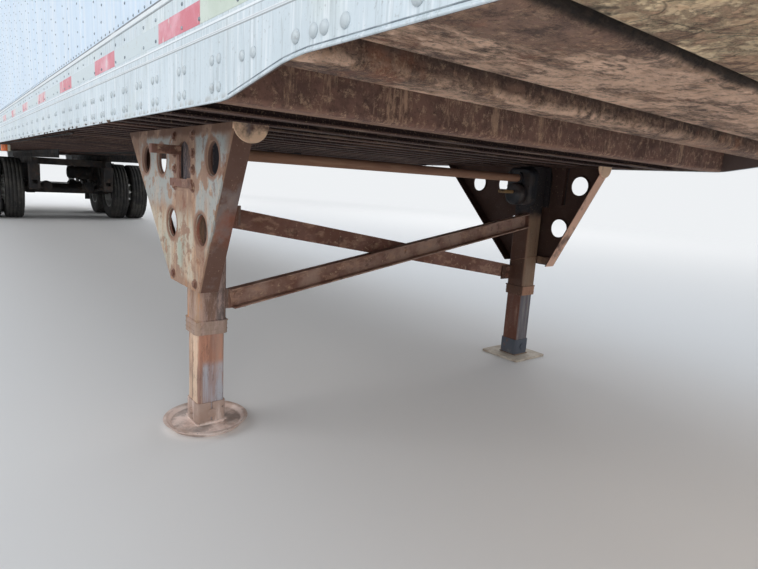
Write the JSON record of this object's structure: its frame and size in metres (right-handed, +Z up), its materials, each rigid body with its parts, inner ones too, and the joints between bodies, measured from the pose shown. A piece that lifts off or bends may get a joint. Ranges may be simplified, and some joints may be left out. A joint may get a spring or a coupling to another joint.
{
  "type": "semi trailer",
  "caption": "Enclosed box semi trailer with a sliding tandem bogie, dual wheels, swing rear doors and crank-down landing gear on braced wing plates.",
  "frame": {"origin": "on the ground below the middle of the overall box", "axes": "+X towards the nose, +Y the road side, +Z up"},
  "size_m": [16.27, 2.63, 4.115],
  "materials": {
    "rail_aluminium": "chalky aluminium",
    "wall_sheet": "pale painted sheet",
    "rusted_steel": "rusted and dusty",
    "leg_steel": "worn paint over rust",
    "dusty_plate": "caked dust on steel",
    "floor_boards": "worn hardwood",
    "gearbox_iron": "oily black",
    "running_steel": "dusty black paint",
    "rim_steel": "dull white paint",
    "tyre": "worn dusty rubber",
    "rubber": "matt rubber",
    "door_panel": "pale painted panel",
    "galvanised": "dull galvanised",
    "lamp_amber": "amber lens",
    "lamp_red": "red lens"
  },
  "bodies": {
    "root": {"bottom_rail_left": "rail_aluminium", "bottom_rail_right": "rail_aluminium", "side_wall_left": "wall_sheet", "side_wall_right": "wall_sheet", "top_rails": "rail_aluminium", "roof": "wall_sheet", "front_corner_posts": "rail_aluminium", "nose_wall": "wall_sheet", "nose_box": "galvanised", "floor": "floor_boards", "cross_members": "rusted_steel", "step_beam": "rusted_steel", "nose_channels": "rusted_steel", "upper_coupler": "dusty_plate", "kingpin": "gearbox_iron", "rear_frame": "galvanised", "dock_bumpers": "rubber", "underride_guard": "galvanised", "wing_plates": "leg_steel", "outer_legs": "leg_steel", "gearboxes": "gearbox_iron", "cross_shaft": "leg_steel", "brace_front": "leg_steel", "brace_rear": "leg_steel", "inner_leg_left": "leg_steel", "inner_leg_right": "leg_steel", "foot_left": "leg_steel", "foot_right": "dusty_plate", "crank": "running_steel", "curb_stub": "leg_steel", "slide_rails": "running_steel", "marker_lamps": "lamp_amber", "rear_lamps": "lamp_red"},
    "bogie": {"bogie_frame": "running_steel", "leaf_springs": "running_steel", "axles": "running_steel", "radius_rods": "running_steel", "brake_chambers": "running_steel", "air_tank": "running_steel", "mud_flaps": "rubber"},
    "door_left": {"door_left": "door_panel", "door_locks_left": "galvanised"},
    "door_right": {"door_right": "door_panel", "door_locks_right": "galvanised"},
    "wheels_front_left": {"tyres_front_left": "tyre", "wheel_front_left": "rim_steel"},
    "wheels_front_right": {"tyres_front_right": "tyre", "wheel_front_right": "rim_steel"},
    "wheels_rear_left": {"tyres_rear_left": "tyre", "wheel_rear_left": "rim_steel"},
    "wheels_rear_right": {"tyres_rear_right": "tyre", "wheel_rear_right": "rim_steel"}
  },
  "joints": [
    {"name": "tandem_slide", "type": "slide", "parent": "root", "child": "bogie", "axis": [1, 0, 0], "range_m": [-0.45, 2.4]},
    {"name": "door_left_swing", "type": "hinge", "parent": "root", "child": "door_left", "pos_m": [-8.093, 1.303, 2.64], "axis": [0, 0, -1], "range_deg": [0, 270]},
    {"name": "door_right_swing", "type": "hinge", "parent": "root", "child": "door_right", "pos_m": [-8.093, -1.303, 2.64], "axis": [0, 0, 1], "range_deg": [0, 270]},
    {"name": "wheels_front_left_spin", "type": "hinge", "parent": "bogie", "child": "wheels_front_left", "pos_m": [-5.185, 0.99, 0.508], "axis": [0, 1, 0], "continuous": true},
    {"name": "wheels_front_right_spin", "type": "hinge", "parent": "bogie", "child": "wheels_front_right", "pos_m": [-5.185, -0.99, 0.508], "axis": [0, 1, 0], "continuous": true},
    {"name": "wheels_rear_left_spin", "type": "hinge", "parent": "bogie", "child": "wheels_rear_left", "pos_m": [-6.43, 0.99, 0.508], "axis": [0, 1, 0], "continuous": true},
    {"name": "wheels_rear_right_spin", "type": "hinge", "parent": "bogie", "child": "wheels_rear_right", "pos_m": [-6.43, -0.99, 0.508], "axis": [0, 1, 0], "continuous": true}
  ]
}
